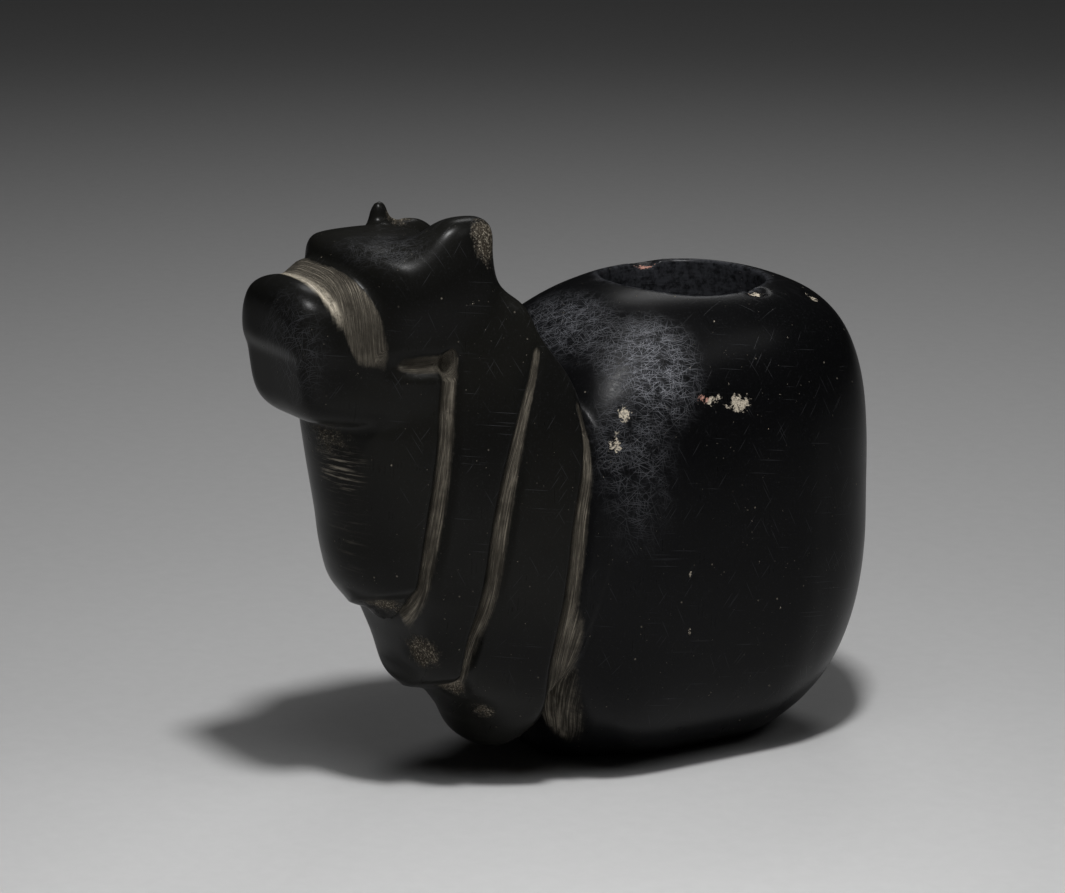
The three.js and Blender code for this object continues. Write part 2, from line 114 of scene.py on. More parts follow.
def egg(x: Array, y: Array, z: Array, half: tuple, plan: Array | float, side: Array | float) -> Array:
    """Distance from a closed rounded form.

    Args:
        x: places across, from the middle.
        y: places along, from the middle.
        z: heights, from the middle.
        half: the three half sizes.
        plan: power of the outline seen from above.
        side: power of the outline seen from the side.

    Returns:
        Distances that are close to true near the surface.
    """
    scale = round_scale(round_scale(x / half[0], y / half[1], plan), z / half[2], side)
    return np.sqrt(x * x + y * y + z * z) * (1.0 - 1.0 / np.maximum(scale, TINY))


def oval(x: Array, z: Array, half_width: Array | float, half_height: Array | float, power: float) -> Array:
    """Distance from an oval tube with two half sizes."""
    scale = round_scale(x / half_width, z / half_height, power)
    return np.sqrt(x * x + z * z) * (1.0 - 1.0 / np.maximum(scale, TINY))


def dip(offset: Array, half_width: Array | float) -> Array:
    """A smooth trough, 1 deep in its middle and level beyond its half width."""
    inside = np.maximum(1.0 - (offset / half_width) ** 2, 0.0)
    return inside * inside


@dataclass(frozen=True)
class Profile:
    """A smooth curve through (height, size) stations, level beyond both ends."""

    stations: Stations

    def __call__(self, height: Array) -> Array:
        """Gives the size at each height."""
        at, size = np.array(self.stations).T
        span = np.diff(at)
        slope = np.diff(size) / span
        inner = (slope[:-1] * span[1:] + slope[1:] * span[:-1]) / (span[:-1] + span[1:])
        slopes = np.concatenate([slope[:1], inner, slope[-1:]])
        inside = np.clip(height, at[0], at[-1])
        i = np.clip(np.searchsorted(at, inside) - 1, 0, len(span) - 1)
        t = (inside - at[i]) / span[i]
        s = 1.0 - t
        start = size[i] * (1.0 + 2.0 * t) + slopes[i] * span[i] * t
        end = size[i + 1] * (3.0 - 2.0 * t) - slopes[i + 1] * span[i] * s
        return start * s * s + end * t * t


@dataclass(frozen=True)
class Grain:
    """Smooth random values in space, from -1 to 1, the same on each run."""

    seed: int
    size: float
    lattice: int = 32

    def __call__(self, points: Array) -> Array:
        """Gives a value for each point, with lattice points size millimetres apart."""
        table = np.random.default_rng(self.seed).uniform(-1.0, 1.0, (self.lattice,) * 3)
        scaled = points / self.size + self.seed * 0.37
        base = np.floor(scaled).astype(int)
        t = scaled - base
        t = t * t * (3.0 - 2.0 * t)
        total = np.zeros(len(points))
        for corner in np.ndindex(2, 2, 2):
            ids = (base + corner) % self.lattice
            share = np.prod(np.where(corner, t, 1.0 - t), axis=1)
            total += share * table[ids[:, 0], ids[:, 1], ids[:, 2]]
        return total


@dataclass(frozen=True)
class Spot:
    """A soft-edged place on the stone, in millimetres."""

    middle: Triple
    reach: Triple
    strength: float = 1.0

    def weight(self, points: Array) -> Array:
        """Gives the spot's strength in its middle and 0 beyond its reach."""
        far = np.linalg.norm((points - self.middle) / self.reach, axis=1)
        return self.strength * (1.0 - ease(far, 0.0, 1.0))


@dataclass(frozen=True)
class Chip:
    """A bite out of the stone, as an egg that is cut away, in millimetres."""

    middle: Triple
    half: Triple
    edge: float = 0.5

    def cut(self, distance: Array, x: Array, y: Array, z: Array) -> Array:
        """Takes the bite out of a field of distances."""
        across, along, up = (v - m for v, m in zip((x, y, z), self.middle))
        return soft_max(distance, -egg(across, along, up, self.half, 2.0, 2.0), self.edge)


@dataclass(frozen=True)
class Torso:
    """Rounded block of the body, boxy in front and rounder behind, with the well drilled into it."""

    half_width: float = 24.0
    front_reach: float = 31.0
    rear_reach: float = 27.8
    middle_y: float = -1.0
    top_z: float = 69.5
    widest_z: float = 33.5
    top_slope: float = 0.05
    base_cut: float = 1.9
    well_radius: float = 12.0
    well_depth: float = 43.5
    well_floor_rounding: float = 5.0

    def distance(self, x: Array, y: Array, z: Array) -> Array:
        """Distance from the body without its well."""
        along = y - self.middle_y
        rearward = ease(along, -12.0, 12.0)
        reach = blend(self.front_reach, self.rear_reach, rearward)
        level = z - self.widest_z
        up = level + self.top_slope * along * ease(level, 0.0, 25.0)
        upward = ease(up, -6.0, 6.0)
        side = np.abs(x) / self.half_width
        end = np.abs(along) / reach
        frontward = ease(end / (side + end + TINY), 0.5, 0.95) * (1.0 - rearward)
        plan = blend(blend(6.0, 2.4, ease(up, 12.0, 34.0)), 2.5, rearward)
        base = blend(2.4, 5.0, frontward)
        top = blend(2.8, 3.9, rearward)
        half_height = blend(self.widest_z + self.base_cut, self.top_z - self.widest_z, upward)
        half = (self.half_width, reach, half_height)
        return egg(x, along, up, half, plan, blend(base, top, upward))

    def well(self, x: Array, y: Array, z: Array) -> Array:
        """Distance from the drilled hole, which has a rounded corner round its floor."""
        rounding = self.well_floor_rounding
        out = np.hypot(x, y) - (self.well_radius - rounding)
        down = (self.top_z - self.well_depth + rounding) - z
        corner = np.hypot(np.maximum(out, 0.0), np.maximum(down, 0.0))
        return corner + np.minimum(np.maximum(out, down), 0.0) - rounding


@dataclass(frozen=True)
class Neck:
    """Neck and chest, half an ellipse in plan, with fleece tiers that step over each other."""

    widest_y: float = -24.0
    rear_y: float = -18.0
    top_z: float = 74.0
    nape_start_z: float = 34.0
    nape_run: float = 16.0
    keel_z: float = 2.6
    keel_lowest_y: float = -36.0
    keel_side_rise: float = 4.0
    keel_side_width: float = 12.0
    keel_rear_rise: float = 0.2
    hem_z: tuple[float, ...] = (27.2, 13.2)
    hem_tilt: float = 0.35
    hem_lips: tuple[float, ...] = (0.7, 2.3)
    hem_hollows: tuple[float, ...] = (0.9, 0.8)
    hem_lip_height: float = 11.0
    hem_hollow_height: float = 6.0
    half_width: Profile = Profile(
        ((0, 8), (4, 12), (10, 16.5), (18, 20), (28, 22), (43, 22.2), (54, 20.8), (64, 18.2), (76, 14.5))
    )
    front: Profile = Profile(
        (
            (0, -31), (2, -34.4), (4.5, -37.8), (8.5, -40.4), (12, -43), (16, -47), (20.4, -50), (24, -51.8),
            (27.3, -54.4), (30.5, -57), (34.2, -58.6), (41, -59.8), (47, -60.9), (54, -62.2),
        )
    )
    nape: Profile = Profile(((36, -29.5), (52, -28.2), (61.5, -30.6), (66.4, -33.6), (71, -35.5), (77, -40.5)))
    groove_lines: tuple[Profile, ...] = (
        Profile(((15, -49), (19, -50), (24, -50.7), (33.5, -51.2), (42.6, -50.2), (55, -48.8), (66, -47.6))),
        Profile(((8, -38.5), (12, -41.6), (16, -43.6), (20, -44.2), (28, -43.6), (45, -41.4), (56, -38.6), (64, -35.7), (70, -34.5))),
        Profile(((0, -27.5), (4, -28.6), (10, -31), (17, -32.6), (29, -32), (41, -30.7), (52, -29.3), (61.5, -31))),
    )

    def hem(self, number: int, above: Array) -> Array:
        """How far a hem stands out at a height above it, and is cut back below it."""
        out = ease(above, -0.8, 0.8)
        lip = out * (1.0 - ease(above, 2.0, self.hem_lip_height))
        hollow = (1.0 - out) * (1.0 - ease(-above, 0.0, self.hem_hollow_height))
        return self.hem_lips[number] * lip - self.hem_hollows[number] * hollow

    def distance(self, x: Array, y: Array, z: Array) -> Array:
        """Distance from the neck and chest."""
        spread = (x / self.keel_side_width) ** 2
        front = self.front(z)
        for number, height in enumerate(self.hem_z):
            on_tier = 1.0 - ease(y - self.groove_lines[number](z), -0.8, 0.8)
            front = front - on_tier * self.hem(number, z - height - self.hem_tilt * x)
        ahead = np.maximum(self.widest_y - y, 0.0)
        shell = oval(x, ahead, self.half_width(z), self.widest_y - front, 2.0)
        rise = self.keel_rear_rise * np.maximum(y - self.keel_lowest_y, 0.0) ** 2
        shell = soft_max(shell, self.keel_z + self.keel_side_rise * spread + rise - z, 3.0)
        rear = blend(self.rear_y, self.nape(z), ease(z, self.nape_start_z, self.nape_start_z + self.nape_run))
        return soft_max(soft_max(shell, y - rear, 2.5), z - self.top_z, 4.0)


@dataclass(frozen=True)
class Head:
    """Hood of fleece over a blunt face that looks slightly upwards, with one whole ear and one lost."""

    hood_y: float = -48.4
    hood_z: float = 68.0
    hood_half: Triple = (14.2, 11.6, 12.4)
    hood_lean: float = 0.22
    hood_front_y: float = -59.8
    hood_front_sweep: float = 0.027
    face_ahead: float = 9.6
    face_tilt: float = math.radians(12)
    face_root: float = 8.0
    jaw_half_width: float = 9.3
    jaw_reach: float = 10.0
    jaw_drop: float = 13.3
    chin_setback: float = 0.15
    mouth_drop: float = 4.0
    nose_half_width: float = 9.9
    nose_reach: float = 10.8
    nose_rise: float = 6.3
    nose_length: float = 8.0
    bridge_half_width: float = 8.2
    bridge_reach: float = 9.0
    bridge_rise: float = 6.3
    bridge_slope: float = 0.8
    cheek_flare: float = 0.4
    ear: Triple = (10.9, -43.6, 83.8)
    ear_half: Triple = (3.5, 5.4, 6.2)
    ear_lean: float = 0.3
    lost_ear_y: float = -44.4
    stub_tip_z: float = 82.4
    stub_half: Triple = (1.5, 1.8, 4.0)
    ridge_half: Triple = (2.8, 6.0, 4.6)

    def hood(self, x: Array, y: Array, z: Array) -> Array:
        """Distance from the hood."""
        up = z - self.hood_z
        whole = egg(x, y - self.hood_y + self.hood_lean * up, up, self.hood_half, 2.9, 3.6)
        return soft_max(whole, self.hood_front_y + self.hood_front_sweep * x * x - y, 2.2)

    def face_axes(self, y: Array, z: Array) -> tuple[Array, Array]:
        """Places in front of the face's root and above its middle line, with the face's tilt."""
        out = self.hood_y - self.face_ahead - y
        return out, (z - self.hood_z) * math.cos(self.face_tilt) - out * math.sin(self.face_tilt)

    def face(self, x: Array, y: Array, z: Array) -> Array:
        """Distance from jaw, nose pad and the lower bridge that widens towards the cheeks."""
        out, up = self.face_axes(y, z)
        flare = self.cheek_flare * np.clip(self.nose_length - 0.5 - out, 0.0, 11.0)
        jaw_half = self.jaw_drop / 2.0 + 1.0
        chin = self.jaw_reach - self.chin_setback * np.maximum(-self.mouth_drop - up, 0.0)
        jaw = oval(x, up + self.jaw_drop - jaw_half, self.jaw_half_width + 0.7 * flare, jaw_half, 4.0)
        jaw = soft_max(jaw, out - chin, 3.0)
        nose_half = self.nose_rise + 0.6
        nose = oval(x, up + nose_half - self.nose_rise, self.nose_half_width, nose_half, 2.5)
        nose = soft_max(nose, out - self.nose_reach, 5.4)
        nose = soft_max(nose, -self.mouth_drop - up, 1.6)
        nose = soft_max(nose, self.nose_reach - self.nose_length + 0.25 * up - out, 1.6)
        rise = self.bridge_rise + np.clip(self.bridge_slope * (5.0 - out), -4.0, 2.4)
        bridge = oval(x, up + 1.0, self.bridge_half_width + flare, rise + 1.0, 3.0)
        bridge = soft_max(bridge, out - self.bridge_reach, 2.0)
        front = soft_min(soft_min(jaw, nose, 1.4), bridge, 1.0)
        return soft_max(front, -out - self.face_root, 2.0)

    def whole_ear(self, x: Array, y: Array, z: Array) -> Array:
        """Distance from the ear that is left."""
        down = self.ear[2] - z
        along = y - self.ear[1] + self.ear_lean * down
        return egg(x - self.ear[0], along, self.ear_half[2] - down, self.ear_half, 2.6, 2.8)

    def broken_ear(self, x: Array, y: Array, z: Array) -> Array:
        """Distance from the stub of the lost ear and the low ridge behind it."""
        across, along = x + self.ear[0], y - self.lost_ear_y
        stub = egg(across, along, z - self.stub_tip_z + self.stub_half[2], self.stub_half, 2.0, 2.0)
        ridge_z = self.stub_tip_z - 2.8 - self.ridge_half[2]
        ridge = egg(across, along - 3.8, z - ridge_z, self.ridge_half, 2.0, 2.0)
        return soft_min(stub, ridge, 2.0)


@dataclass(frozen=True)
class Carving:
    """Grooves cut behind the fleece tiers and under the cheeks."""

    half_width: float = 2.0
    depth: float = 1.7
    least_facing: float = 0.6
    least_width: float = 0.5
    least_depth: float = 0.3
    foot_flare: float = 2.0
    runs: tuple[tuple[float, float, float, float], ...] = ((15, 18, 64, 67), (13, 16, 44, 66), (0, 2, 38, 58))
    cheek_z: float = 64.3
    cheek_half_width: float = 2.3
    cheek_depth: float = 1.3
    cheek_y: float = -48.4

    def facing(self, neck: Neck, x: Array, y: Array, z: Array) -> Array:
        """How far the neck's surface faces sideways, from 0 in front to 1 at its sides."""
        across = np.abs(x) / neck.half_width(z) ** 2
        along = np.maximum(neck.widest_y - y, 0.0) / (neck.widest_y - neck.front(z)) ** 2
        return across / (np.hypot(across, along) + TINY)

    def troughs(self, neck: Neck, x: Array, y: Array, z: Array) -> tuple[list[Array], ...]:
        """Works out how deep each tier groove is at each place.

        Args:
            neck: the neck that carries the tiers.
            x: places across.
            y: places along.
            z: heights.

        Returns:
            For each groove its depth as a share, how near its middle a place is, and the places across it.
        """
        facing = np.maximum(self.facing(neck, x, y, z), self.least_facing)
        shares, traces, offsets = [], [], []
        for number, line in enumerate(neck.groove_lines):
            start, full, fade, end = self.runs[number]
            offset = y - line(z)
            fading = 1.0 - ease(z, fade, end)
            width = self.half_width * facing * blend(self.least_width, 1.0, fading)
            run = ease(z, start, full) * (1.0 - ease(z, end - 2.0, end + 1.0))
            if number == 2:
                width = width * (1.0 + self.foot_flare * (1.0 - ease(z, 6.0, 30.0)) * (offset > 0.0))
                run = run * ease(np.abs(x), 2.0, 8.0)
            traces.append(dip(offset, width) * run)
            shares.append(traces[-1] * blend(self.least_depth, 1.0, fading))
            offsets.append(offset + 0.0 * x)
        return shares, traces, offsets

    def cheek(self, x: Array, y: Array, z: Array) -> Array:
        """Depth of the short level groove under the cheek, as a share."""
        back = self.cheek_y - y
        run = ease(back, -1.6, 0.2) * (1.0 - ease(back, 3.6, 9.6)) * ease(np.abs(x), 8.0, 11.0)
        return run * dip(z - self.cheek_z, self.cheek_half_width)

    def cut(self, neck: Neck, x: Array, y: Array, z: Array) -> Array:
        """Depth of all the carving in millimetres."""
        shares, _, _ = self.troughs(neck, x, y, z)
        return self.depth * sum(shares) + self.cheek_depth * self.cheek(x, y, z)


@dataclass
class Mesh:
    """Points in millimetres and faces of four corners."""

    points: Array
    quads: Array

    def relaxed(self, share: float) -> Array:
        """Points moved by a share towards the middle of their neighbours."""
        ends = np.concatenate([self.quads[:, [i, (i + 1) % 4]] for i in range(4)])
        count = np.bincount(ends[:, 0], minlength=len(self.points))
        sums = [np.bincount(ends[:, 0], self.points[ends[:, 1], n], len(self.points)) for n in range(3)]
        return self.points + share * (np.stack(sums, 1) / count[:, None] - self.points)


def surface_net(values: Array, low: Array, step: float) -> Mesh:
    """Meshes the zero surface of a grid of distances with one point per crossed cell.

    Args:
        values: distances at the grid points, negative inside.
        low: the grid's lowest corner.
        step: the grid's pitch.

    Returns:
        The closed mesh, with its faces pointing out.
    """
    sizes = np.array(values.shape)
    cells, places, faces = [], [], []
    for axis in range(3):
        near = np.take(values, range(sizes[axis] - 1), axis)
        far = np.take(values, range(1, sizes[axis]), axis)
        where = np.argwhere((near < 0.0) != (far < 0.0))
        a, b = near[tuple(where.T)], far[tuple(where.T)]
        place = where.astype(float)
        place[:, axis] += a / (a - b)
        side, rise = (axis + 1) % 3, (axis + 2) % 3
        around = []
        for back_side, back_rise in ((1, 1), (0, 1), (0, 0), (1, 0)):
            cell = where.copy()
            cell[:, side] -= back_side
            cell[:, rise] -= back_rise
            around.append(np.ravel_multi_index(tuple(cell.T), tuple(sizes)))
            cells.append(around[-1])
            places.append(place)
        quad = np.stack(around, 1)
        faces.append(np.where((a < 0.0)[:, None], quad, quad[:, ::-1]))
    ids, back = np.unique(np.concatenate(cells), return_inverse=True)
    everywhere = np.concatenate(places)
    count = np.bincount(back)
    points = np.stack([np.bincount(back, everywhere[:, n]) / count for n in range(3)], 1)
    quads = np.searchsorted(ids, np.concatenate(faces))
    return Mesh(points * step + low, quads)


@dataclass
class CarvedStone:
    """The figure: its form, its fine mesh and the marks of carving and wear on it, some of which also carry painted
    light.
    """

    torso: Torso = field(default_factory=Torso)
    neck: Neck = field(default_factory=Neck)
    head: Head = field(default_factory=Head)
    carving: Carving = field(default_factory=Carving)
    name: str = "alpaca_figure"
    step: float = 0.57
    margin: float = 2.0
    rim_rounding: float = 0.9
    foot_rounding: float = 0.8
    unevenness: float = 0.22
    roughness_depth: float = 0.35
    chips: tuple[Chip, ...] = (
        Chip((12.9, 4.5, 68.6), (1.4, 1.9, 1.2)),
        Chip((12.3, 14.6, 67.2), (1.6, 1.3, 1.4)),
        Chip((-12.6, 1.6, 68.6), (1.3, 2.6, 1.2)),
        Chip((-1.9, -13.2, 70.2), (1.6, 1.0, 1.3)),
        Chip((7.6, -51.6, 20.8), (4.0, 2.4, 2.2), 1.0),
        Chip((-6.0, -50.9, 20.9), (1.6, 1.6, 0.9)),
    )
    rough_spots: tuple[Spot, ...] = (
        Spot((8.4, -49.4, 21.4), (6.0, 5.0, 4.4)),
        Spot((5.0, -53.4, 28.4), (9.5, 3.6, 3.0), 0.8),
        Spot((7.0, -43.8, 15.2), (4.5, 3.4, 4.4)),
        Spot((9.6, -40.0, 11.0), (4.6, 3.4, 3.4), 0.7),
        Spot((13.8, -41.6, 81.0), (4.6, 4.4, 6.5)),
        Spot((-11.5, -42.0, 80.0), (4.0, 5.0, 4.0)),
        Spot((3.0, -61.0, 53.2), (11.0, 4.0, 5.6), 0.55),
        Spot((15.5, -33.0, 4.0), (6.0, 6.0, 5.0), 0.8),
    )
    # Places of real scratching and rubbing whose tone is also painted lighter: a painted sheen standing in for the
    # soft highlight of the overhead lamp.
    wear_and_sheen_spots: tuple[Spot, ...] = (
        Spot((17.5, -17.0, 60.5), (10.0, 9.0, 12.0), 1.2),
        Spot((4.5, -22.5, 65.5), (15.0, 8.0, 8.0), 0.55),
        Spot((20.5, -22.0, 49.0), (6.0, 8.5, 20.0), 0.34),
        Spot((5.0, -68.0, 67.0), (9.0, 6.0, 11.0), 0.18),
        Spot((7.0, -54.0, 80.5), (10.0, 9.0, 5.0), 0.14),
    )
    cream_spots: tuple[Spot, ...] = (
        Spot((22.3, -5.2, 54.6), (3.4, 3.6, 2.6)),
        Spot((21.8, -9.6, 55.8), (2.4, 3.0, 1.6)),
        Spot((20.3, -23.2, 55.2), (1.8, 1.8, 2.6)),
        Spot((21.2, -25.2, 51.0), (1.6, 1.8, 3.0)),
        Spot((12.8, 4.4, 67.9), (1.9, 2.4, 1.8)),
        Spot((12.4, 14.8, 66.2), (2.0, 1.8, 1.6)),
        Spot((-12.2, 1.6, 67.8), (1.8, 3.2, 1.8)),
        Spot((7.2, -63.4, 74.0), (0.8, 0.8, 0.8)),
        Spot((23.9, -14.0, 31.2), (0.8, 0.8, 0.8)),
        Spot((23.4, -13.8, 22.5), (0.8, 0.8, 0.8)),
        Spot((23.4, -22.4, 28.0), (0.5, 0.5, 0.5)),
    )
    scuffed_spots: tuple[Spot, ...] = (
        Spot((5.0, -60.5, 49.0), (7.0, 4.0, 5.0)),
        Spot((5.0, -60.0, 38.0), (7.0, 4.0, 14.0), 0.14),
    )
    pink_spots: tuple[Spot, ...] = (
        Spot((21.6, -10.9, 56.1), (2.0, 2.2, 1.6)),
        Spot((-12.2, 1.6, 67.8), (2.0, 3.4, 2.0)),
        Spot((12.8, 3.0, 68.0), (1.4, 1.6, 1.6)),
    )

    def form(self, x: Array, y: Array, z: Array) -> Array:
        """Distance from the carved, drilled and chipped stone, in millimetres."""
        stone = soft_min(self.neck.distance(x, y, z), self.head.hood(x, y, z), 4.0)
        stone = soft_min(stone, self.head.face(x, y, z), 0.9)
        stone = soft_min(stone, self.head.whole_ear(x, y, z), 6.0)
        stone = soft_min(stone, self.head.broken_ear(x, y, z), 2.0)
        stone = soft_min(stone, self.torso.distance(x, y, z), 2.0)
        stone = stone + self.carving.cut(self.neck, x, y, z)
        stone = soft_max(stone, -self.torso.well(x, y, z), self.rim_rounding)
        for chip in self.chips:
            stone = chip.cut(stone, x, y, z)
        return soft_max(stone, -z + 0.0 * stone, self.foot_rounding)

    def at(self, points: Array) -> Array:
        """Distance from the stone at each point."""
        return self.form(*points.T)

    def slope(self, points: Array, reach: float = 0.05) -> Array:
        """Direction in which the distance grows, and how fast, at each point."""
        steps = [self.at(points + shift) - self.at(points - shift) for shift in np.eye(3) * reach]
        return np.stack(steps, 1) / (2.0 * reach)

    def settled(self, points: Array) -> Array:
        """Points brought onto the surface of the stone."""
        slope = self.slope(points)
        shift = self.at(points) / np.maximum((slope ** 2).sum(1), 0.05)
        reach = self.step
        return points - slope * np.clip(shift, -reach, reach)[:, None]

    def mesh(self) -> Mesh:
        """Meshes the stone on an even grid and settles the points on its surface."""
        low, high = (np.array(corner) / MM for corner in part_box(NODE))
        low, high = low - self.margin, high + self.margin
        x, y, z = (np.arange(a, b, self.step) for a, b in zip(low, high))
        rows = [self.form(x[:, None], y[None, :], np.full((1, 1), height)) for height in z]
        mesh = surface_net(np.stack(rows, 2), low, self.step)
        for _ in range(3):
            mesh.points = self.settled(mesh.relaxed(0.5))
        return Mesh(self.settled(mesh.points), mesh.quads)

    def relieved(self, mesh: Mesh) -> Mesh:
        """Adds hand-made unevenness and the pitting of the rough places, always inwards."""
        points = mesh.points
        slope = self.slope(points)
        normal = slope / np.linalg.norm(slope, axis=1)[:, None]
        wave = 0.7 * Grain(11, 13.0)(points) + 0.3 * Grain(12, 5.0)(points)
        depth = self.unevenness * (0.5 + 0.5 * wave)
        pits = 0.6 * Grain(13, 1.7)(points) + 0.4 * Grain(14, 1.0)(points)
        depth = depth + self.roughness_depth * self.worn(points) * (0.5 + 0.5 * pits)
        depth = depth + 0.3 * self.most(self.cream_spots, points) * (0.6 + 0.4 * Grain(15, 1.1)(points))
        on_foot = ease(points[:, 2], 0.0, 1.0)
        return Mesh(points - normal * (depth * on_foot)[:, None], mesh.quads)

    def most(self, spots: tuple[Spot, ...], points: Array) -> Array:
        """The strongest weight of several spots at each point."""
        return np.max([spot.weight(points) for spot in spots], axis=0)

    def worn(self, points: Array) -> Array:
        """How rough and brown the stone is at each point."""
        return self.most(self.rough_spots, points)

    def band(self, points: Array) -> Array:
        """How far a point is in the matt recess between nose pad and hood."""
        x, y, z = points.T
        out, up = self.head.face_axes(y, z)
        behind_pad = 1.0 - ease(out - 0.35 * up, 3.2, 4.4)
        clear = ease(self.head.hood(x, y, z), 0.35, 1.3)
        return behind_pad * clear * ease(up, -5.5, -1.0) * ease(out, -6.0, -3.0)

    def seam(self, points: Array) -> Array:
        """How near a point is to the pale upper edge where the nose pad meets the recess."""
        _, y, z = points.T
        out, up = self.head.face_axes(y, z)
        return dip(out - 0.35 * up - 3.6, 1.1) * ease(up, 0.5, 4.0) * ease(self.head.hood(*points.T), 0.35, 1.3)

    def fan(self, x: Array, offset: Array, z: Array) -> Array:
        """How far a point is in the fan of strokes at the foot of the rear groove, whose real tan strokes are also
        painted light on a hollow that the lamps leave in shade.
        """
        reach = blend(9.0, 3.0, ease(z, 4.0, 34.0))
        across = ease(offset, -1.4, 0.2) * (1.0 - ease(offset, 0.2 * reach, reach))
        height = blend(0.60, 0.84, ease(z, 2.0, 9.0)) * (1.0 - ease(z, 22.0, 36.0))
        return height * across * ease(np.abs(x), 4.0, 9.0)

    def marks(self, points: Array) -> dict[str, Array]:
        """Works out the masks and coordinates that the finish reads.

        Args:
            points: the mesh points before relief, in millimetres.

        Returns:
            A value for each point under each attribute name.
        """
        x, y, z = points.T
        _, traces, offsets = self.carving.troughs(self.neck, x, y, z)
        sideways = ease(self.carving.facing(self.neck, x, y, z), 0.20, 0.42)
        seen = (self.neck.distance(x, y, z) < 2.6) * sideways
        front = traces[0] * seen * ease(z, 18.0, 22.0)
        rear = traces[2] * blend(0.6, 1.0, ease(z, 8.0, 24.0))
        # The fan joins the rear groove's trace, so its hollow gets the tan strokes and the painted light of the
        # groove walls.
        traces = [front, traces[1] * seen, np.maximum(rear, self.fan(x, offsets[2], z))]
        cheek = self.carving.cheek(x, y, z)
        band = self.band(points)
        out, _ = self.head.face_axes(y, z)
        total = sum(traces) + cheek + band + TINY
        streak = sum(s * o for s, o in zip(traces, offsets)) + cheek * z + band * out
        along = (sum(traces) * z + cheek * y + band * (np.abs(x) - z)) / total
        slope = self.slope(points)
        level = slope / np.linalg.norm(slope, axis=1)[:, None]
        return {
            "groove": np.clip(sum(traces) + cheek, 0.0, 1.0),
            # ring round the well's rim, painted as a highlight over real edge wear
            "rim": dip(np.hypot(x, y) - self.torso.well_radius - 0.3, 1.3) * ease(z, 58.0, 62.0),
            "band": band,
            "seam": self.seam(points),
            "head": 1.0 - ease(y - self.neck.groove_lines[2](z) - 0.6, -0.6, 0.6),
            "flank": ease(np.abs(level[:, 0]), 0.60, 0.85),
            "crown": ease(level[:, 2], 0.60, 0.85),
            "streak": streak / total,
            "along": along,
            "rough": self.worn(points),
            # painted sheen over real scratches, from the spots of scratching and sheen
            "wear_and_painted_sheen": self.most(self.wear_and_sheen_spots, points),
            "cream": self.most(self.cream_spots, points),
            "pink": self.most(self.pink_spots, points),
            "scuff": self.most(self.scuffed_spots, points),
            "bore": 1.0 - ease(self.torso.well(x, y, z), 0.2, 1.0),
        }

    def build(self) -> bpy.types.Object:
        """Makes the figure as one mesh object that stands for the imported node."""
        bare = self.mesh()
        carved = self.relieved(bare)
        data = bpy.data.meshes.new(self.name)
        data.from_pydata((carved.points * MM).tolist(), [], carved.quads.tolist())
        data.validate()
        data.shade_smooth()
        for name, values in self.marks(bare.points).items():
            layer = data.attributes.new(name, "FLOAT", "POINT")
            layer.data.foreach_set("value", values.astype(np.float32))
        piece = bpy.data.objects.new(self.name, data)
        bpy.context.scene.collection.objects.link(piece)
        data.materials.append(PolishedStone().material())
        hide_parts(NODE)
        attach(piece, Body.ROOT.value)
        log.info("%s: %d points, %d faces", piece.name, len(data.vertices), len(data.polygons))
        return piece


class Value:
    """A shader socket that adds Math nodes when it is used in an expression."""

    def __init__(self, tree: "Tree", socket: bpy.types.NodeSocket) -> None:
        """Keeps the socket and the tree that it belongs to."""
        self.tree = tree
        self.socket = socket

    def math(self, operation: str, *others: "Value | float") -> "Value":
        """Adds a Math node with this value as its first input."""
        return self.tree.node("ShaderNodeMath", {"operation": operation}, dict(enumerate((self, *others))))

    def __add__(self, other: "Value | float") -> "Value":
        """Adds two values."""
        return self.math("ADD", other)

    def __radd__(self, other: float) -> "Value":
        """Adds a number and a value."""
        return self.math("ADD", other)

    def __sub__(self, other: "Value | float") -> "Value":
        """Takes one value from another."""
        return self.math("SUBTRACT", other)

    def __rsub__(self, other: float) -> "Value":
        """Takes a value from a number."""
        return (self * -1.0) + other

    def __mul__(self, other: "Value | float") -> "Value":
        """Multiplies two values."""
        return self.math("MULTIPLY", other)

    def __rmul__(self, other: float) -> "Value":
        """Multiplies a number and a value."""
        return self.math("MULTIPLY", other)

    def __abs__(self) -> "Value":
        """Gives the size of a value."""
        return self.math("ABSOLUTE")

    def most(self, other: "Value | float") -> "Value":
        """Gives the greater of two values."""
        return self.math("MAXIMUM", other)

    def eased(self, low: float, high: float) -> "Value":
        """Smooth step from 0 at low to 1 at high."""
        settings = {"interpolation_type": "SMOOTHSTEP"}
        return self.tree.node("ShaderNodeMapRange", settings, {"Value": self, "From Min": low, "From Max": high})


Input = Value | float | tuple | str


